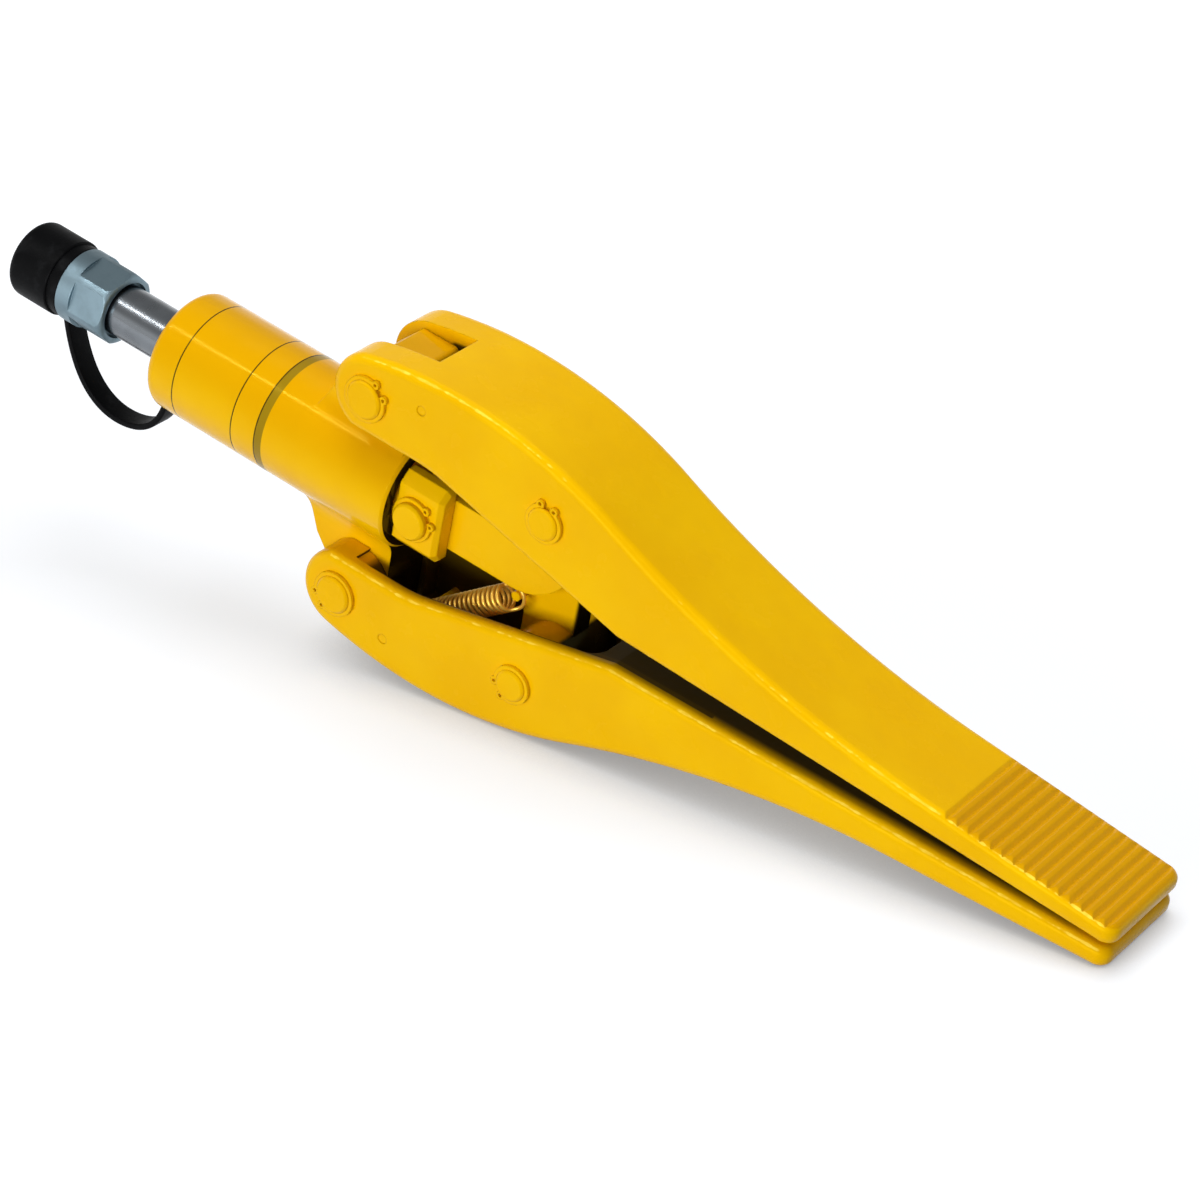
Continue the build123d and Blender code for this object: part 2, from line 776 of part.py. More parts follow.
def poppet_stop(turn):
    """Place and direction on the poppet spring's coil after a number of turns."""
    angle = 2 * pi * turn
    place = Vector(poppet_from + poppet_rise * turn, poppet_coil * sin(angle), poppet_coil * cos(angle))
    way = Vector(poppet_rise / (2 * pi), poppet_coil * cos(angle), -poppet_coil * sin(angle))
    return (place, way.normalized())


with BuildPart() as poppet_spring:
    with BuildLine() as poppet_path:
        for half in range(2 * poppet_turns):
            biarc(*poppet_stop(half / 2), *poppet_stop(half / 2 + 0.5))
    with BuildSketch(Plane(origin=poppet_path.wire() @ 0, z_dir=poppet_path.wire() % 0)):
        Circle(poppet_wire / 2)
    sweep()
print("poppet spring least gap to itself", round(least_gap(poppet_path.wire(), poppet_wire), 3))
keep(poppet_spring, "poppet_spring")

# Dust cap: a rubber cup stepped down at its rim, pushed over the coupler's nose.
cap_play = 0.1
cap_back_gap = 0.3
cap_crown_gap = 1.5
cap_crown_round = 2.5
cap_step_round = 0.5
cap_rim = coupler_rear - cap_back_gap
cap_step = cap_rim - cap_rim_length
with BuildPart() as dust_cap:
    with BuildSketch(Plane.XZ) as cap_section:
        with BuildLine():
            Polyline(
                (cap_rim, nose_radius + cap_play),
                (cap_rim, cap_rim_radius),
                (cap_step, cap_rim_radius),
                (cap_step, cap_radius),
                (cap_end, cap_radius),
                (cap_end, 0),
                (nose_end - cap_crown_gap, 0),
                (nose_end - cap_crown_gap, nose_radius + cap_play),
                close=True,
            )
        make_face()
        fillet(cap_section.vertices().sort_by_distance((cap_end, cap_radius))[0], cap_crown_round)
        fillet(cap_section.vertices().sort_by_distance((cap_rim, cap_rim_radius))[0], cap_step_round)
        fillet(cap_section.vertices().sort_by_distance((cap_step, cap_radius))[0], cap_step_round)
    revolve(axis=Axis.X)
keep(dust_cap, "dust_cap")

# Strap ring round the adaptor, and the flat strap that hangs in a loop from it to the cap's rim.
strap_ring_thickness = 2.2
ring_front = barrel_rear - cap_back_gap
ring_middle = ring_front - strap_ring_width / 2
strap_ring_radius = adaptor_radius + strap_ring_thickness
with BuildPart() as strap_ring:
    with BuildSketch(Plane.XZ):
        with Locations((ring_front, adaptor_radius + running_gap)):
            Rectangle(strap_ring_width, strap_ring_thickness - running_gap, align=(Align.MAX, Align.MIN))
    revolve(axis=Axis.X)
keep(strap_ring, "strap_ring")

strap_sag = barrel_radius + strap_drop
strap_bend = 12.5
strap_lean = 0.6
with BuildPart() as cap_strap:
    with BuildLine(Plane.XZ) as strap_line:
        FilletPolyline(
            (cap_rim - cap_rim_length / 2, -cap_rim_radius - strap_gap),
            (cap_rim + strap_run, -strap_sag),
            (ring_middle - strap_lean, -strap_sag),
            (ring_middle, -strap_ring_radius - ring_gap),
            radius=strap_bend,
        )
    with BuildSketch(Plane(origin=strap_line.wire() @ 0, x_dir=(0, 1, 0), z_dir=strap_line.wire() % 0)):
        Rectangle(strap_width, strap_thickness)
    sweep()
print("strap length", round(strap_line.wire().length, 1), "bend radius", strap_bend)
keep(cap_strap, "cap_strap")

# Centre the laid tool over the origin and write every piece.
names = [piece.label for piece in pieces]
rear_box = pieces[names.index("dust_cap")].bounding_box()
front_box = pieces[names.index("upper_jaw")].bounding_box()
low_box = pieces[names.index("lower_jaw")].bounding_box()
shift = -(rear_box.min.X + max(front_box.max.X, low_box.max.X)) / 2
for piece in pieces:
    export_step(piece.moved(Location((shift, 0, 0))), "parts/" + piece.label + ".step")


def laid_at(x, z):
    """Where a point of the tool's middle plane lies in the finished part, in metres."""
    turned = laid * Location((x, 0, z))
    return [round((turned.position.X + shift) / 1000, 6), 0.0, round(turned.position.Z / 1000, 6)]


# Pivots, directions and linkage ratios, as the record states them.
arm = hypot(link_pin_x, link_pin_height - pivot_height)
arm_angle = atan2(link_pin_height - pivot_height, link_pin_x)
link_length = hypot(link_pin_x - clevis_x, link_pin_height)
swing = radians(swing_angle)
open_x = arm * cos(arm_angle + swing)
open_z = pivot_height + arm * sin(arm_angle + swing)
travel = open_x - sqrt(link_length**2 - open_z**2) - clevis_x
link_turn = asin(open_z / link_length) - asin(link_pin_height / link_length) - swing
print("pieces", len(pieces), "pitch degrees", round(degrees(pitch), 4), "tip height", tip_height)
print("axis forward", [round(cos(pitch), 6), 0.0, round(-sin(pitch), 6)])
print("upper pivot", laid_at(0, pivot_height), "lower pivot", laid_at(0, -pivot_height))
print("upper link pin", laid_at(link_pin_x, link_pin_height), "lower", laid_at(link_pin_x, -link_pin_height))
print("clevis", laid_at(clevis_x, 0))
print("plunger travel mm", round(travel, 3), "per rad", round(travel / swing, 3))
print("link turn against jaw, degrees", round(degrees(link_turn), 3), "ratio", round(link_turn / swing, 4))
print("coupler nose", laid_at(nose_end, 0))
print("lower jaw box", low_box.min, low_box.max)
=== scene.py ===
import json
from math import atan2, cos, pi, radians, sin

import bpy
from bpy.props import FloatProperty, FloatVectorProperty, IntProperty, PointerProperty
from mathutils import Matrix, Vector


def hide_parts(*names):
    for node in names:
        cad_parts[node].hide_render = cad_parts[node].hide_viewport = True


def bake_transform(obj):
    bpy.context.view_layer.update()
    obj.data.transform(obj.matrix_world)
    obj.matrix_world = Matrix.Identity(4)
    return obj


bl_info = {
    "name": "Hydraulic wedge spreader",
    "version": (1, 0, 0),
    "blender": (4, 5, 0),
    "location": "View3D > Sidebar > Spreader",
    "description": "Paint, metal, rubber, springs, cap strap and stage of a hydraulic wedge spreader",
    "category": "Object",
}

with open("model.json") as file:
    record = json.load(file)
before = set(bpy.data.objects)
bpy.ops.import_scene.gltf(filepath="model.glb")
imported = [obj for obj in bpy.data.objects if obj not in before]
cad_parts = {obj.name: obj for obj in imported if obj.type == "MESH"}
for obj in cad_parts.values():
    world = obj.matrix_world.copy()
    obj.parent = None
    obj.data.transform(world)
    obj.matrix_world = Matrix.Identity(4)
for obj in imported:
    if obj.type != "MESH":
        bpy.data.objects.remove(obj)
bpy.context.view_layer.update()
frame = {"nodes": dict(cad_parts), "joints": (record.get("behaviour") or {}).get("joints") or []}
joints = {joint["name"]: joint for joint in frame["joints"]}

# Tool coordinates: x along the ram axis towards the tips, y across the jaws, z towards the upper jaw.
# Their origin lies on the ram axis, level with the two jaw pivots.
ram_axis = Vector(joints["plunger_slide"]["axis"])
ram_tilt = atan2(-ram_axis.z, ram_axis.x)
upper_pivot = Vector(joints["upper_jaw_swing"]["pos_m"])
lower_pivot = Vector(joints["lower_jaw_swing"]["pos_m"])
ram_origin = (upper_pivot + lower_pivot) / 2
tool_to_frame = Matrix.Translation(ram_origin) @ Matrix.Rotation(ram_tilt, 4, "Y")
tool_up = Vector((sin(ram_tilt), 0, cos(ram_tilt)))
tool_side = Vector((0, 1, 0))

# Shape of the jaws in metres: half their width at the pivot, its taper along the tool,
# and the centre that the upper jaw's hump is rounded about.
jaw_half_width = 0.01963
jaw_taper = 0.0052
hump_centre = (0.029, -0.08758)

# Where finishes change, in metres on the tool; most of them bound the painted shade inside the jaws, on the
# link hubs and on the barrel's front end. Each pair is the start and the end of a soft change.
inner_edge = (0.0018, 0.0060)
inner_rear = (0.006, 0.026)
tips_meet = (0.240, 0.250)
pocket_roof = (0.134, 0.1352)
cheek_inside = (0.0151, 0.0156)
fork_front = (0.0055, 0.0075)
teeth_start = (0.2005, 0.2035)
hub_front = (0.0684, 0.0698)
barrel_front = (0.007, 0.009)
print_edge = 0.00006

# How far a face has to turn towards a direction for a finish to change, from -1 to 1.
facing_inward = (-0.8, -0.5)
facing_outward = (0.6, 0.85)
facing_ahead = (0.3, 0.6)
facing_front = (0.9, 0.98)
facing_up = (-0.1, 0.6)

# On a jaw's rounded edge, the product of a face's turns to the side and outward rises to one half; the
# painted highlight along the rims lies near that half.
rim_highlight_band = (0.474, 0.496)
rim_highlight_waver = (-0.022, 0.012)

# How much of the paint a mark covers, from 0 to 1: painted shade inside the jaws and on the barrel's top,
# wear and painted shade on the teeth, and a painted highlight along the rims. A pair goes from its least to
# its most.
inner_shade_cover = (0.12, 0.97)
pocket_shade_cover = 0.93
teeth_wear_and_shade = 0.9
barrel_top_shade = 0.75
rim_highlight_patches = (0.35, 1)

# Ranges of a noise pattern, whose values lie mostly between 0.3 and 0.7.
noise_range = (0.3, 0.7)
noise_middle = (0.35, 0.65)
noise_upper = (0.35, 0.7)
noise_high = (0.5, 0.72)

# Wound and soft pieces, in millimetres on the tool. The springs' places are those of the upper half.
spring_anchor = (18.7, 3.95, 40.2)
spring_hook = (51.5, 3.95, 12.3)
poppet_coil_rear = -129.9
poppet_coil_front = -121.8
poppet_coil_radius = 3.95
strap_bends = (
    (-126.1, -12.0),
    (-122.6, -24.0),
    (-113.5, -36.2),
    (-98.0, -37.2),
    (-86.6, -31.2),
    (-83.3, -20.5),
    (-83.1, -10.6),
)
points_per_turn = 16
smooth_angle = radians(40)

# Stage in metres.
floor_size = 24
tool_middle = (0.02, 0, 0.05)
top_lamp_place = (-0.1, 0.35, 1.6)
top_lamp_sides = (1.1, 1.1)
strip_lamp_place = (-0.35, -0.69, 1.4)
strip_lamp_aim = (-0.35, 0, 0.06)
strip_lamp_sides = (2.2, 0.06)
front_lamp_place = (0.1, -1.7, 0.36)
front_lamp_sides = (1.4, 0.5)
glow_reach = (0.2, 0.55)
contact_open = (0.1, 0.8)
wall_rise = (0.2, 0.5)
sensor_width = 36


def tool_point(x, y, z):
    """A place given in millimetres along the tool, as a point of the frame."""
    return tool_to_frame @ (Vector((x, y, z)) / 1000)


def colour(title, text, value):
    """A colour setting."""
    return FloatVectorProperty(
        name=title, description=text, subtype="COLOR", size=3, min=0, max=1, default=value
    )


def length(title, text, value):
    """A length setting in metres."""
    return FloatProperty(
        name=title, description=text, subtype="DISTANCE", unit="LENGTH", min=0, default=value
    )


def share(title, text, value):
    """A setting from 0 to 1."""
    return FloatProperty(name=title, description=text, subtype="FACTOR", min=0, max=1, default=value)


def power(title, text, value):
    """A lamp's power in watts."""
    return FloatProperty(name=title, description=text, unit="POWER", min=0, default=value)


class SPREADER_PG_enamel(bpy.types.PropertyGroup):
    """Yellow enamel on castings and machined steel."""

    yellow: colour("Yellow", "Enamel where the coat is full", (0.85, 0.486, 0.0004))
    thin_yellow: colour("Thin yellow", "Enamel where the coat is thinner", (0.81, 0.440, 0.0003))
    # The colour below darkens the teeth partly as wear and partly as painted shade, and the top of the barrel
    # as painted shade.
    worn: colour("Worn", "Enamel darkened by use: teeth and top of the barrel", (0.66, 0.315, 0.0004))
    # The colour below is a painted highlight along the jaws' rounded rims.
    rim_highlight: colour("Rim", "Enamel rubbed bright along the jaws' rims", (1.0, 0.72, 0.07))
    sheen: colour("Sheen", "Tint of the light that the enamel throws back", (1.0, 0.78, 0.03))
    # The colour below is painted shade: it darkens the inside of the jaws, the front of the link hubs and the
    # barrel's front end face, where shade falls.
    painted_shade: colour("Bare casting", "Dull casting where the paint thins out", (0.018, 0.0095, 0.001))
    reflection: share("Reflection", "How much light the enamel throws back", 0.17)
    gloss: share("Roughness", "Roughness of the enamel", 0.23)
    smoother: share("Smoother", "How much less rough it gets in places", 0.05)
    rougher: share("Rougher", "How much rougher it gets in places", 0.06)
    # The roughness below lies under the painted shade inside the jaws.
    shade_roughness: share("Dull roughness", "Roughness of the casting where the paint thins out", 0.65)
    barrel_gloss: share("Barrel roughness", "Roughness of the enamel on the turned barrel", 0.12)
    cloud: length("Clouds", "Size of the slow changes in the coat", 0.027)
    wave: length("Casting wave", "Size of the slow waves of the cast surface", 0.009)
    wave_height: length("Wave height", "Height of those waves", 0.00022)
    # The two sizes below shape the painted highlight along the rims: its patches and the waver of its width.
    rim_highlight_patch: length("Rubbed patches", "Size of the rubbed patches along the rims", 0.0045)
    waver: length("Rim waver", "Size of the waver in the width of the rims", 0.00315)
    peel: length("Orange peel", "Size of the fine ripple in the enamel", 0.0011)
    peel_height: length("Peel height", "Height of that ripple on a casting", 0.0000132)
    edge: length("Edge", "Rounding of sharp edges by the coat", 0.0007)


class SPREADER_PG_print(bpy.types.PropertyGroup):
    """Plain rings printed round the barrel."""

    ink: colour("Ink", "Colour of the thin rings", (0.045, 0.028, 0.004))
    band: colour("Band", "Colour of the wide ring", (0.30, 0.185, 0.006))
    rear_ring: length("Rear ring", "Distance of the rear ring behind the jaw pivots", 0.0697)
    middle_ring: length("Middle ring", "Distance of the middle ring behind the jaw pivots", 0.0466)
    wide_ring: length("Wide ring", "Distance of the wide ring behind the jaw pivots", 0.0362)
    thin_width: length("Thin width", "Width of a thin ring", 0.00042)
    wide_width: length("Wide width", "Width of the wide ring", 0.0028)


class SPREADER_PG_metal(bpy.types.PropertyGroup):
    """Bare and plated metals."""

    zinc: colour("Zinc", "Blue-grey zinc plate of the coupler", (0.19, 0.265, 0.305))
    bright: colour("Bright steel", "Plated steel of the adaptor", (0.20, 0.215, 0.23))
    ground: colour("Ground steel", "Plunger and poppet", (0.52, 0.52, 0.53))
    wire: colour("Spring wire", "Yellow passivated spring wire", (0.95, 0.56, 0.07))
    lathe: length("Lathe marks", "Pitch of the turning marks", 0.0005)
    cloud: length("Clouds", "Size of the patches that handling leaves", 0.006)
    cloud_shade: share("Cloud shade", "How much of the colour is left in those patches", 0.82)
    edge: length("Edge", "Rounding of sharp edges", 0.0003)


class SPREADER_PG_rubber(bpy.types.PropertyGroup):
    """Moulded rubber of the cap, strap and seals."""

    black: colour("Rubber", "Colour of the rubber", (0.0014, 0.0015, 0.0018))
    worn: colour("Rubbed", "Colour where the rubber is rubbed grey", (0.0065, 0.0068, 0.0075))
    reflection: share("Reflection", "How much light the rubber throws back", 0.05)
    duller: share("Duller", "How much rougher the rubber is where it is rubbed", 0.12)
    patch: length("Rubbed patches", "Size of the rubbed patches", 0.005)
    grain: length("Grain", "Size of the moulded grain", 0.0006)
    grain_depth: length("Grain depth", "Depth of that grain", 0.00004)
    edge: length("Edge", "Rounding of sharp edges", 0.0004)


class SPREADER_PG_plastic(bpy.types.PropertyGroup):
    """Filled plastic of the plunger's wear ring."""

    brown: colour("Brown", "Colour of the plastic", (0.30, 0.25, 0.17))
    pale: colour("Fibre", "Colour of the filling", (0.40, 0.35, 0.26))
    fibre: length("Fibre size", "Size of the filling's specks", 0.0008)
    smooth: share("Smooth", "Roughness between the specks", 0.5)
    coarse: share("Coarse", "Roughness of the specks", 0.62)


class SPREADER_PG_spring(bpy.types.PropertyGroup):
    """Return springs between jaws and links, and the poppet's spring."""

    coil: length("Coil diameter", "Outer diameter of a return spring's coil", 0.0088)
    wire: length("Wire diameter", "Diameter of a return spring's wire", 0.0012)
    turns: IntProperty(name="Turns", description="Turns of a return spring", min=3, max=60, default=18)
    pin: length("Pin radius", "Radius of the pins that the hooks hold", 0.0015)
    tail: length("Hook tail", "Straight end of a hook", 0.0012)
    lead: length("Coil lead", "Distance from a hook's bend to the coil", 0.0022)
    poppet_wire: length("Poppet wire", "Diameter of the poppet spring's wire", 0.0009)
    poppet_turns: IntProperty(
        name="Poppet turns", description="Turns of the poppet's spring", min=2, max=12, default=4
    )


class SPREADER_PG_strap(bpy.types.PropertyGroup):
    """Flat rubber strap that keeps the cap on the tool."""

    width: length("Width", "Width of the strap", 0.0074)
    thickness: length("Thickness", "Thickness of the strap", 0.0020)
    edge: length("Edge", "Rounding of the strap's edges", 0.0005)


class SPREADER_PG_stage(bpy.types.PropertyGroup):
    """Camera, floor and light."""

    eye: FloatVectorProperty(
        name="Camera place",
        description="Where the camera stands",
        subtype="TRANSLATION",
        unit="LENGTH",
        default=(0.54455, -0.71204, 0.54747),
    )
    turn: FloatVectorProperty(
        name="Camera turn",
        description="How the camera is turned",
        subtype="EULER",
        unit="ROTATION",
        default=(radians(60.2278), radians(-0.4045), radians(36.6309)),
    )
    lens: FloatProperty(
        name="Lens", description="Focal length for a 36 mm wide sensor", unit="CAMERA", default=109.07
    )
    floor: colour("Floor", "Colour of the floor", (0.362, 0.38, 0.412))
    near_glow: share("Near glow", "How far the floor is lifted to white near the tool", 0.65)
    far_glow: share("Far glow", "How far the floor is lifted to white further out", 0.92)
    contact: length("Contact", "Reach of the shade where the tool lies on the floor", 0.03)
    contact_shade: share("Contact shade", "How much of the floor's glow is left in that shade", 0.35)
    sky: share("Sky", "Strength of the even light from all round", 0.25)
    wall: share("Wall", "Brightness of the wall round the horizon", 1.0)
    ceiling: share("Ceiling", "Brightness of the ceiling above it", 0.45)
    top_power: power("Top lamp", "Power of the lamp above the tool", 21.2)
    strip_power: power("Strip lamp", "Power of the narrow lamp that shows on round surfaces", 13)
    front_power: power("Front lamp", "Power of the lamp before the tool", 24.8)


settings_groups = {
    "spreader_enamel": SPREADER_PG_enamel,
    "spreader_print": SPREADER_PG_print,
    "spreader_metal": SPREADER_PG_metal,
    "spreader_rubber": SPREADER_PG_rubber,
    "spreader_plastic": SPREADER_PG_plastic,
    "spreader_spring": SPREADER_PG_spring,
    "spreader_strap": SPREADER_PG_strap,
    "spreader_stage": SPREADER_PG_stage,
}


def new_material(name):
    """An empty node material with its shader."""
    material = bpy.data.materials.new(name)
    material.use_nodes = True
    tree = material.node_tree
    tree.nodes.clear()
    output = tree.nodes.new("ShaderNodeOutputMaterial")
    shader = tree.nodes.new("ShaderNodeBsdfPrincipled")
    tree.links.new(shader.outputs["BSDF"], output.inputs["Surface"])
    return material, tree, shader


def feed(tree, socket, value):
    """Set an input to a value, or link it to another node's output."""
    if isinstance(value, bpy.types.NodeSocket):
        tree.links.new(value, socket)
    elif hasattr(value, "__len__") and socket.type == "RGBA":
        socket.default_value = (value[0], value[1], value[2], 1)
    else:
        socket.default_value = value


def along_tool(tree):
    """Tool coordinates in metres, from the Object coordinates."""
    place = tree.nodes.new("ShaderNodeTexCoord")
    turned = tree.nodes.new("ShaderNodeMapping")
    turned.vector_type = "TEXTURE"
    turned.inputs["Location"].default_value = ram_origin
    turned.inputs["Rotation"].default_value = (0, ram_tilt, 0)
    tree.links.new(place.outputs["Object"], turned.inputs["Vector"])
    return turned.outputs["Vector"]


def apart(tree, vector):
    """The three parts of a vector."""
    node = tree.nodes.new("ShaderNodeSeparateXYZ")
    tree.links.new(vector, node.inputs["Vector"])
    return node.outputs["X"], node.outputs["Y"], node.outputs["Z"]


def facing(tree, way):
    """How far a surface faces a direction of the frame, from -1 to 1."""
    place = tree.nodes.new("ShaderNodeTexCoord")
    node = tree.nodes.new("ShaderNodeVectorMath")
    node.operation = "DOT_PRODUCT"
    tree.links.new(place.outputs["Normal"], node.inputs[0])
    node.inputs[1].default_value = way
    return node.outputs["Value"]


def noise(tree, place, size, detail=2.0, rough=0.5):
    """Soft random pattern whose grains have about the given size."""
    node = tree.nodes.new("ShaderNodeTexNoise")
    tree.links.new(place, node.inputs["Vector"])
    node.inputs["Scale"].default_value = 1 / size
    node.inputs["Detail"].default_value = detail
    node.inputs["Roughness"].default_value = rough
    return node.outputs["Fac"]


def remap(tree, value, given_range, new_range):
    """A value moved softly from one range to another and held inside it."""
    node = tree.nodes.new("ShaderNodeMapRange")
    node.interpolation_type = "SMOOTHSTEP"
    node.inputs["From Min"].default_value, node.inputs["From Max"].default_value = given_range
    node.inputs["To Min"].default_value, node.inputs["To Max"].default_value = new_range
    tree.links.new(value, node.inputs["Value"])
    return node.outputs["Result"]


def reckon(tree, operation, first, second=0.0):
    """One step of arithmetic on two values, or on the first alone."""
    node = tree.nodes.new("ShaderNodeMath")
    node.operation = operation
    feed(tree, node.inputs[0], first)
    feed(tree, node.inputs[1], second)
    return node.outputs["Value"]


def product(tree, first, *others):
    """Values multiplied together."""
    total = first
    for other in others:
        total = reckon(tree, "MULTIPLY", total, other)
    return total


def mixed(tree, factor, first, second):
    """Two colours mixed by a factor."""
    node = tree.nodes.new("ShaderNodeMix")
    node.data_type = "RGBA"
    feed(tree, node.inputs["Factor"], factor)
    feed(tree, node.inputs["A"], first)
    feed(tree, node.inputs["B"], second)
    return node.outputs["Result"]


def raised(tree, height, depth, normal):
    """Surface relief of the given depth over an earlier normal."""
    node = tree.nodes.new("ShaderNodeBump")
    node.inputs["Strength"].default_value = 1
    node.inputs["Distance"].default_value = depth
    tree.links.new(height, node.inputs["Height"])
    tree.links.new(normal, node.inputs["Normal"])
    return node.outputs["Normal"]


def soft_edges(tree, radius):
    """Normals that round sharp edges off a little, as a coat of paint does."""
    node = tree.nodes.new("ShaderNodeBevel")
    node.samples = 4
    node.inputs["Radius"].default_value = radius
    return node.outputs["Normal"]


def enamel_finish(name, cast, marks=None):
    """Yellow enamel: waved on castings, smoother on machined steel, with a piece's own marks over it."""
    given = bpy.context.scene.spreader_enamel
    material, tree, shader = new_material(name)
    place = along_tool(tree)
    coat = remap(tree, noise(tree, place, given.cloud, detail=3), noise_range, (0, 1))
    paint = mixed(tree, coat, given.thin_yellow, given.yellow)
    rough_range = (given.gloss - given.smoother, given.gloss + given.rougher)
    rough = remap(tree, noise(tree, place, given.wave, detail=4), noise_range, rough_range)
    if marks is not None:
        paint, rough = marks(tree, place, paint, rough)
    tree.links.new(paint, shader.inputs["Base Color"])
    tree.links.new(rough, shader.inputs["Roughness"])
    shader.inputs["Specular IOR Level"].default_value = given.reflection
    shader.inputs["Specular Tint"].default_value = (*given.sheen, 1)
    normal = soft_edges(tree, given.edge)
    normal = raised(tree, noise(tree, place, given.wave), given.wave_height * cast, normal)
    normal = raised(tree, noise(tree, place, given.peel), given.peel_height * cast, normal)
    tree.links.new(normal, shader.inputs["Normal"])
    return material


def shaded_inner_face(tree, x, aside, outward):
    """How far painted shade darkens a jaw's inner face: none along its rims and at the tip, less towards the
    ear.
    """
    half_width = reckon(tree, "ADD", product(tree, x, -jaw_taper), jaw_half_width)
    depth = reckon(tree, "SUBTRACT", half_width, aside)
    inward = remap(tree, outward, facing_inward, (1, 0))
    middle = remap(tree, depth, inner_edge, (0, 1))
    ahead = remap(tree, x, inner_rear, inner_shade_cover)
    tip = remap(tree, x, tips_meet, (1, 0))
    return product(tree, inward, middle, ahead, tip)


def shaded_pocket(tree, x, z, aside):
    """How far painted shade darkens the pocket under a jaw's hump, from its roof to the inside of its cheeks.
    """
    rise = reckon(tree, "ADD", reckon(tree, "ABSOLUTE", z), -hump_centre[1])
    run = reckon(tree, "ADD", x, -hump_centre[0])
    squares = reckon(tree, "ADD", reckon(tree, "POWER", rise, 2), reckon(tree, "POWER", run, 2))
    roof = remap(tree, reckon(tree, "SQRT", squares), pocket_roof, (pocket_shade_cover, 0))
    front_face = remap(tree, facing(tree, ram_axis), facing_ahead, (0, 1))
    ahead = reckon(tree, "MAXIMUM", remap(tree, x, fork_front, (0, 1)), front_face)
    return product(tree, roof, remap(tree, aside, cheek_inside, (1, 0)), ahead)


def painted_rim_highlight(tree, place, outward):
    """How strongly a painted highlight lies along a jaw's rounded rims, in patches and with a waver."""
    given = bpy.context.scene.spreader_enamel
    corner = reckon(tree, "ABSOLUTE", product(tree, facing(tree, tool_side), outward))
    waver = remap(tree, noise(tree, place, given.waver), noise_range, rim_highlight_waver)
    rim_highlight = remap(tree, reckon(tree, "ADD", corner, waver), rim_highlight_band, (0, 1))
    patches = remap(tree, noise(tree, place, given.rim_highlight_patch, detail=3), noise_middle, rim_highlight_patches)
    return product(tree, rim_highlight, patches)


def jaw_marks(tree, place, paint, rough):
    """A painted highlight along the rounded rims, teeth darkened partly by wear and partly by painted shade,
    and painted shade inside the jaws.
    """
    given = bpy.context.scene.spreader_enamel
    x, y, z = apart(tree, place)
    aside = reckon(tree, "ABSOLUTE", y)
    outward = product(tree, facing(tree, tool_up), reckon(tree, "SIGN", z))
    back = remap(tree, outward, facing_outward, (0, 1))
    # The teeth are darkened partly as wear and partly as painted shade between them.
    teeth = product(tree, remap(tree, x, teeth_start, (0, teeth_wear_and_shade)), back)
    paint = mixed(tree, teeth, paint, given.worn)
    # A painted highlight along the rounded rims.
    paint = mixed(tree, painted_rim_highlight(tree, place, outward), paint, given.rim_highlight)
    inner = shaded_inner_face(tree, x, aside, outward)
    # Painted shade over the inner faces and the pocket, made rougher there.
    thin = reckon(tree, "MAXIMUM", inner, shaded_pocket(tree, x, z, aside))
    rough = reckon(tree, "MAXIMUM", rough, product(tree, thin, given.shade_roughness))
    return mixed(tree, thin, paint, given.painted_shade), rough


def link_hub_shade(tree, place, paint, rough):
    """Painted shade on the front of the link hubs."""
    along = apart(tree, place)[0]
    painted_shade = bpy.context.scene.spreader_enamel.painted_shade
    return mixed(tree, remap(tree, along, hub_front, (0, 1)), paint, painted_shade), rough


def barrel_marks(tree, place, paint, rough):
    """A top darkened as painted shade, plain rings printed round the barrel, and a front end face darkened as
    painted shade.
    """
    given = bpy.context.scene.spreader_print
    enamel = bpy.context.scene.spreader_enamel
    along = apart(tree, place)[0]
    rough = reckon(tree, "ADD", rough, enamel.barrel_gloss - enamel.gloss)
    # Painted shade: the barrel's upper side is darkened.
    top_shade = remap(tree, facing(tree, tool_up), facing_up, (0, barrel_top_shade))
    paint = mixed(tree, top_shade, paint, enamel.worn)
    wide_edge = given.wide_ring + given.wide_width / 2
    rings = (
        (given.wide_ring, given.wide_width, given.band),
        (wide_edge, given.thin_width, given.ink),
        (given.middle_ring, given.thin_width, given.ink),
        (given.rear_ring, given.thin_width, given.ink),
    )
    for behind, width, ink in rings:
        away = reckon(tree, "ABSOLUTE", reckon(tree, "ADD", along, behind))
        cover = remap(tree, away, (width / 2 - print_edge, width / 2 + print_edge), (1, 0))
        paint = mixed(tree, cover, paint, ink)
        rough = reckon(tree, "MAXIMUM", rough, product(tree, cover, enamel.gloss))
    # Painted shade on the barrel's front end face.
    end_face = remap(tree, facing(tree, ram_axis), facing_front, (0, 1))
    front = product(tree, end_face, remap(tree, along, barrel_front, (0, 1)))
    return mixed(tree, front, paint, enamel.painted_shade), rough


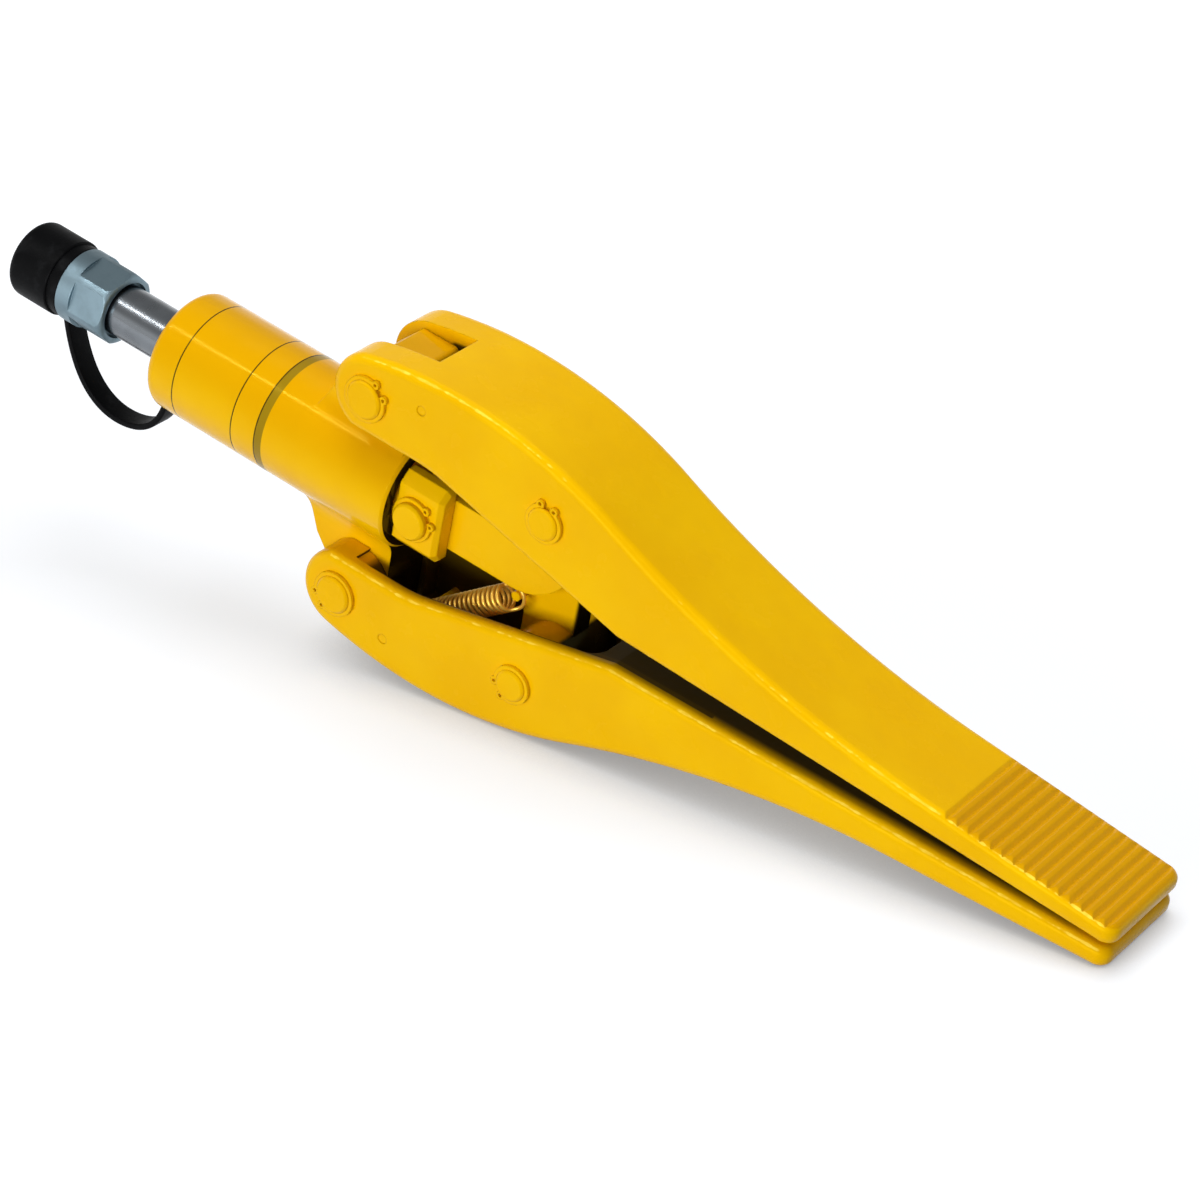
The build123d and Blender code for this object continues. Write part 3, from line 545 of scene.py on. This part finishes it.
def turned_metal(name, tint, rough, marks, spread=0.05, metallic=1.0):
    """Metal turned on a lathe: fine rings round the ram axis, clouded by handling."""
    given = bpy.context.scene.spreader_metal
    material, tree, shader = new_material(name)
    place = along_tool(tree)
    on_axis = tree.nodes.new("ShaderNodeCombineXYZ")
    tree.links.new(apart(tree, place)[0], on_axis.inputs["X"])
    rings = noise(tree, on_axis.outputs["Vector"], given.lathe, detail=3, rough=0.7)
    cloud = noise(tree, place, given.cloud, detail=4)
    dark = [part * given.cloud_shade for part in tint]
    tone = mixed(tree, remap(tree, cloud, noise_upper, (0, 1)), tint, dark)
    tree.links.new(tone, shader.inputs["Base Color"])
    clouded = remap(tree, cloud, noise_range, (rough - spread, rough + spread))
    tree.links.new(clouded, shader.inputs["Roughness"])
    shader.inputs["Metallic"].default_value = metallic
    normal = raised(tree, rings, marks, soft_edges(tree, given.edge))
    tree.links.new(normal, shader.inputs["Normal"])
    return material


def spring_steel(name):
    """Yellow passivated spring wire."""
    wire = bpy.context.scene.spreader_metal.wire
    return turned_metal(name, wire, rough=0.34, marks=0.000004, metallic=0.5)


def rubber_finish(name, rough):
    """Black moulded rubber with a fine grain, rubbed grey in places."""
    given = bpy.context.scene.spreader_rubber
    material, tree, shader = new_material(name)
    place = along_tool(tree)
    patches = noise(tree, place, given.patch, detail=5, rough=0.6)
    tone = mixed(tree, remap(tree, patches, noise_high, (0, 1)), given.black, given.worn)
    tree.links.new(tone, shader.inputs["Base Color"])
    rubbed = remap(tree, patches, noise_range, (rough, rough + given.duller))
    tree.links.new(rubbed, shader.inputs["Roughness"])
    shader.inputs["Specular IOR Level"].default_value = given.reflection
    grain = noise(tree, place, given.grain, detail=3)
    normal = raised(tree, grain, given.grain_depth, soft_edges(tree, given.edge))
    tree.links.new(normal, shader.inputs["Normal"])
    return material


def plastic_finish(name):
    """Brown filled bearing plastic."""
    given = bpy.context.scene.spreader_plastic
    material, tree, shader = new_material(name)
    specks = noise(tree, along_tool(tree), given.fibre, detail=4)
    tree.links.new(mixed(tree, specks, given.brown, given.pale), shader.inputs["Base Color"])
    rough = remap(tree, specks, noise_range, (given.smooth, given.coarse))
    tree.links.new(rough, shader.inputs["Roughness"])
    return material


def dress(material, *names):
    """Give CAD nodes a material."""
    for name in names:
        mesh = frame["nodes"][name].data
        mesh.materials.clear()
        mesh.materials.append(material)


def both(*names):
    """The upper and the lower node of each name."""
    return [half + name for name in names for half in ("upper_", "lower_")]


def drawn_path(name, points, fineness):
    """A smooth curve that starts and ends on the first and last of its control points."""
    bpy.ops.object.select_all(action="DESELECT")
    bpy.ops.curve.primitive_nurbs_path_add(location=(0, 0, 0))
    path = bpy.context.object
    path.name = name
    spline = path.data.splines[0]
    spline.points.add(len(points) - len(spline.points))
    for control, point in zip(spline.points, points):
        control.co = (*point, 1)
    spline.order_u = 4
    spline.use_endpoint_u = True
    path.data.resolution_u = fineness
    return path


def as_mesh(piece):
    """Turn a curve into a mesh that is alone selected and active."""
    bpy.ops.object.select_all(action="DESELECT")
    piece.select_set(True)
    bpy.context.view_layer.objects.active = piece
    bpy.ops.object.convert(target="MESH")
    return bpy.context.object


def drawn_wire(name, points, thickness):
    """A smooth round wire along a row of control points, as a mesh."""
    path = drawn_path(name, points, fineness=3)
    path.data.bevel_depth = thickness / 2
    path.data.bevel_resolution = 3
    path.data.use_fill_caps = True
    wire = as_mesh(path)
    bpy.ops.object.shade_smooth_by_angle(angle=smooth_angle)
    return wire


def spring_route(given, first, last):
    """Control points of a hooked spring between two pins: hook, coil and hook."""
    reach = last - first
    along = reach.normalized()
    upright = along.cross(tool_side)
    radius = (given.coil - given.wire) / 2
    # A smooth curve runs inside its control points, so they stand further out than the wire.
    control_radius = radius * 3 / (2 + cos(2 * pi / points_per_turn))
    arch = radius - given.pin - given.wire / 2
    start = arch + given.lead
    stop = reach.length - start
    far_arch = reach.length - arch

    def spot(forward, aside, up):
        """A point given along, beside and above the line between the pins."""
        return first + along * forward + tool_side * aside + upright * up

    def bend(centre, start_angle):
        """The half turn of a hook."""
        angles = [start_angle + 2 * pi * k / points_per_turn for k in range(points_per_turn // 2 + 1)]
        return [spot(centre + control_radius * cos(a), 0, control_radius * sin(a)) for a in angles]

    route = [spot(arch + given.tail, 0, radius), *bend(arch, pi / 2)]
    steps = given.turns * points_per_turn
    for k in range(1, steps):
        turn = 2 * pi * k / points_per_turn
        forward = start + (stop - start) * k / steps
        route.append(spot(forward, control_radius * sin(turn), -control_radius * cos(turn)))
    return [*route, *bend(far_arch, -pi / 2), spot(far_arch - given.tail, 0, radius)]


class SPREADER_OT_jaws(bpy.types.Operator):
    """Paint the two cast jaws, their pins and retaining rings"""

    bl_idname = "spreader.jaws"
    bl_label = "Jaws"

    def execute(self, context):
        dress(enamel_finish("cast_enamel", cast=1.0, marks=jaw_marks), *both("jaw"))
        plain = enamel_finish("pin_enamel", cast=0.35)
        dress(plain, *both("pivot_pin", "link_pin", "jaw_rings", "spring_pin"))
        return {"FINISHED"}


class SPREADER_OT_linkage(bpy.types.Operator):
    """Paint the links, the plunger's yoke and the clevis pin"""

    bl_idname = "spreader.linkage"
    bl_label = "Linkage"

    def execute(self, context):
        paint = enamel_finish("linkage_enamel", cast=0.5, marks=link_hub_shade)
        dress(paint, *both("link", "hook_pin"), "plunger_yoke", "clevis_pin", "clevis_rings")
        return {"FINISHED"}


class SPREADER_OT_cylinder(bpy.types.Operator):
    """Paint the cylinder with its plain printed rings, and finish the ram inside it"""

    bl_idname = "spreader.cylinder"
    bl_label = "Cylinder"

    def execute(self, context):
        steel = context.scene.spreader_metal.ground
        dress(enamel_finish("barrel_enamel", cast=0.1, marks=barrel_marks), "cylinder_body")
        ground = turned_metal("ground_steel", steel, rough=0.24, marks=0.000006)
        dress(ground, "plunger", "coupler_poppet")
        dress(rubber_finish("seal_rubber", rough=0.4), "plunger_seal")
        dress(plastic_finish("bearing_plastic"), "plunger_wear_ring")
        return {"FINISHED"}


class SPREADER_OT_coupler(bpy.types.Operator):
    """Finish the adaptor and coupler and wind the poppet's spring"""

    bl_idname = "spreader.coupler"
    bl_label = "Coupler"

    def execute(self, context):
        metal = context.scene.spreader_metal
        bright = turned_metal("bright_steel", metal.bright, rough=0.24, marks=0.000008, spread=0.04)
        dress(bright, "inlet_adaptor")
        zinc = turned_metal("zinc_plate", metal.zinc, rough=0.47, marks=0.000008, spread=0.06)
        dress(zinc, "coupler_body")
        given = context.scene.spreader_spring
        steps = given.poppet_turns * points_per_turn
        route = []
        for k in range(steps + 1):
            turn = 2 * pi * k / points_per_turn
            x = poppet_coil_rear + (poppet_coil_front - poppet_coil_rear) * k / steps
            route.append(tool_point(x, poppet_coil_radius * sin(turn), poppet_coil_radius * cos(turn)))
        spring = drawn_wire("poppet_spring_wire", route, given.poppet_wire)
        spring.data.materials.append(spring_steel("poppet_wire"))
        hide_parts("poppet_spring")
        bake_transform(spring)
        return {"FINISHED"}


class SPREADER_OT_springs(bpy.types.Operator):
    """Wind the two return springs between their pins"""

    bl_idname = "spreader.springs"
    bl_label = "Return springs"

    def execute(self, context):
        given = context.scene.spreader_spring
        finish = spring_steel("spring_wire")
        for half, side in (("upper", 1), ("lower", -1)):
            first, last = (tool_point(x, side * y, side * z) for x, y, z in (spring_anchor, spring_hook))
            spring = drawn_wire(half + "_spring_wire", spring_route(given, first, last), given.wire)
            spring.data.materials.append(finish)
            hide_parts(half + "_return_spring")
            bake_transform(spring)
        return {"FINISHED"}


class SPREADER_OT_cap(bpy.types.Operator):
    """Finish the dust cap and make the flat strap that holds it"""

    bl_idname = "spreader.cap"
    bl_label = "Cap and strap"

    def execute(self, context):
        rubber = rubber_finish("cap_rubber", rough=0.42)
        dress(rubber, "dust_cap", "strap_ring")
        strap = self.flat_strap(context.scene.spreader_strap)
        strap.data.materials.append(rubber)
        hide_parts("cap_strap")
        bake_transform(strap)
        return {"FINISHED"}

    def flat_strap(self, given):
        """The strap's middle line, drawn out to its width, given its wall and rounded along its edges."""
        points = [tool_point(x, 0, z) for x, z in strap_bends]
        strap = as_mesh(drawn_path("cap_strap_rubber", points, fineness=8))
        bpy.ops.object.mode_set(mode="EDIT")
        bpy.ops.mesh.select_all(action="SELECT")
        bpy.ops.transform.translate(value=(0, -given.width / 2, 0))
        bpy.ops.mesh.extrude_region_move(TRANSFORM_OT_translate={"value": (0, given.width, 0)})
        bpy.ops.mesh.select_all(action="SELECT")
        bpy.ops.mesh.normals_make_consistent(inside=False)
        bpy.ops.object.mode_set(mode="OBJECT")
        wall = strap.modifiers.new("wall", "SOLIDIFY")
        wall.thickness = given.thickness
        wall.offset = 0
        edge = strap.modifiers.new("edge", "BEVEL")
        edge.width = given.edge
        edge.segments = 3
        for name in ("wall", "edge"):
            bpy.ops.object.modifier_apply(modifier=name)
        bpy.ops.object.shade_smooth_by_angle(angle=smooth_angle)
        return strap


def backdrop_rays(tree):
    """1 for rays that show the backdrop: from the eye, off metal and through glass."""
    ray = tree.nodes.new("ShaderNodeLightPath")
    seen = reckon(tree, "MAXIMUM", ray.outputs["Is Camera Ray"], ray.outputs["Is Glossy Ray"])
    return reckon(tree, "MAXIMUM", seen, ray.outputs["Is Transmission Ray"])


def area_lamp(name, place, aim, sides, watts):
    """A rectangular soft lamp that faces a point."""
    bpy.ops.object.select_all(action="DESELECT")
    bpy.ops.object.light_add(type="AREA", location=place)
    lamp = bpy.context.object
    lamp.name = name
    lamp.data.shape = "RECTANGLE"
    lamp.data.size, lamp.data.size_y = sides
    lamp.data.energy = watts
    lamp.rotation_euler = (Vector(aim) - Vector(place)).to_track_quat("-Z", "Y").to_euler()
    return lamp


class SPREADER_OT_stage(bpy.types.Operator):
    """Set the floor, the soft light and the camera"""

    bl_idname = "spreader.stage"
    bl_label = "Stage"

    def execute(self, context):
        given = context.scene.spreader_stage
        context.scene.view_settings.view_transform = "Standard"
        bpy.ops.object.select_all(action="DESELECT")
        bpy.ops.mesh.primitive_plane_add(size=floor_size, location=(0, 0, 0))
        floor = context.object
        floor.name = "floor"
        floor.data.materials.append(self.floor_material(given))
        self.even_light(given)
        self.lamps(given)
        bpy.ops.object.camera_add(location=given.eye, rotation=given.turn)
        camera = context.object
        camera.name = "photo_camera"
        camera.data.lens = given.lens
        camera.data.sensor_width = sensor_width
        camera.data.clip_start = 0.05
        context.scene.camera = camera
        return {"FINISHED"}

    def lamps(self, given):
        """Soft light from above and before the tool, and a strip that only shows as a line on gloss."""
        top = area_lamp("top_lamp", top_lamp_place, tool_middle, top_lamp_sides, given.top_power)
        top.visible_glossy = False
        strip = area_lamp("strip_lamp", strip_lamp_place, strip_lamp_aim, strip_lamp_sides, given.strip_power)
        strip.visible_diffuse = False
        area_lamp("front_lamp", front_lamp_place, tool_middle, front_lamp_sides, given.front_power)

    def floor_material(self, given):
        """Pale floor that keeps its shadows and is near white to the camera, with a painted contact shadow
        where the tool lies on it.
        """
        material, tree, shader = new_material("floor_paper")
        shader.inputs["Base Color"].default_value = (*given.floor, 1)
        shader.inputs["Roughness"].default_value = 0.9
        shader.inputs["Specular IOR Level"].default_value = 0.1
        shader.inputs["Emission Color"].default_value = (1, 1, 1, 1)
        place = tree.nodes.new("ShaderNodeTexCoord")
        away = tree.nodes.new("ShaderNodeVectorMath")
        away.operation = "LENGTH"
        tree.links.new(place.outputs["Object"], away.inputs[0])
        glow = remap(tree, away.outputs["Value"], glow_reach, (given.near_glow, given.far_glow))
        # Ambient occlusion dims the floor's glow near the tool, which paints a contact shadow there.
        cover = tree.nodes.new("ShaderNodeAmbientOcclusion")
        cover.samples = 4
        cover.inputs["Distance"].default_value = given.contact
        shade = remap(tree, cover.outputs["AO"], contact_open, (given.contact_shade, 1))
        lift = product(tree, backdrop_rays(tree), glow, shade)
        tree.links.new(lift, shader.inputs["Emission Strength"])
        return material

    def even_light(self, given):
        """A white wall round the horizon to the eye and in reflections, and a weak even light on surfaces."""
        world = bpy.data.worlds.new("studio")
        bpy.context.scene.world = world
        world.use_nodes = True
        tree = world.node_tree
        shade = tree.nodes["Background"]
        shade.inputs["Color"].default_value = (1, 1, 1, 1)
        way = tree.nodes.new("ShaderNodeTexCoord")
        height = apart(tree, way.outputs["Generated"])[2]
        level = tree.nodes.new("ShaderNodeMix")
        tree.links.new(backdrop_rays(tree), level.inputs["Factor"])
        level.inputs["A"].default_value = given.sky
        tree.links.new(remap(tree, height, wall_rise, (given.wall, given.ceiling)), level.inputs["B"])
        tree.links.new(level.outputs["Result"], shade.inputs["Strength"])


class SPREADER_PT_panel(bpy.types.Panel):
    """Pieces and settings of the wedge spreader"""

    bl_label = "Wedge spreader"
    bl_idname = "SPREADER_PT_panel"
    bl_space_type = "VIEW_3D"
    bl_region_type = "UI"
    bl_category = "Spreader"

    def draw(self, context):
        for operator in operators:
            self.layout.operator(operator.bl_idname)
        for name, group in settings_groups.items():
            box = self.layout.box()
            for setting in group.__annotations__:
                box.prop(getattr(context.scene, name), setting)


operators = (
    SPREADER_OT_stage,
    SPREADER_OT_jaws,
    SPREADER_OT_linkage,
    SPREADER_OT_cylinder,
    SPREADER_OT_coupler,
    SPREADER_OT_springs,
    SPREADER_OT_cap,
)


def register():
    """Make the settings, the operators and the panel known."""
    for name, group in settings_groups.items():
        bpy.utils.register_class(group)
        setattr(bpy.types.Scene, name, PointerProperty(type=group))
    for operator in operators:
        bpy.utils.register_class(operator)
    bpy.utils.register_class(SPREADER_PT_panel)


def unregister():
    """Take them away again."""
    bpy.utils.unregister_class(SPREADER_PT_panel)
    for operator in reversed(operators):
        bpy.utils.unregister_class(operator)
    for name, group in settings_groups.items():
        delattr(bpy.types.Scene, name)
        bpy.utils.unregister_class(group)


def main():
    """Build every piece in order."""
    register()
    bpy.ops.spreader.stage()
    bpy.ops.spreader.jaws()
    bpy.ops.spreader.linkage()
    bpy.ops.spreader.cylinder()
    bpy.ops.spreader.coupler()
    bpy.ops.spreader.springs()
    bpy.ops.spreader.cap()


if __name__ == "__main__":
    main()
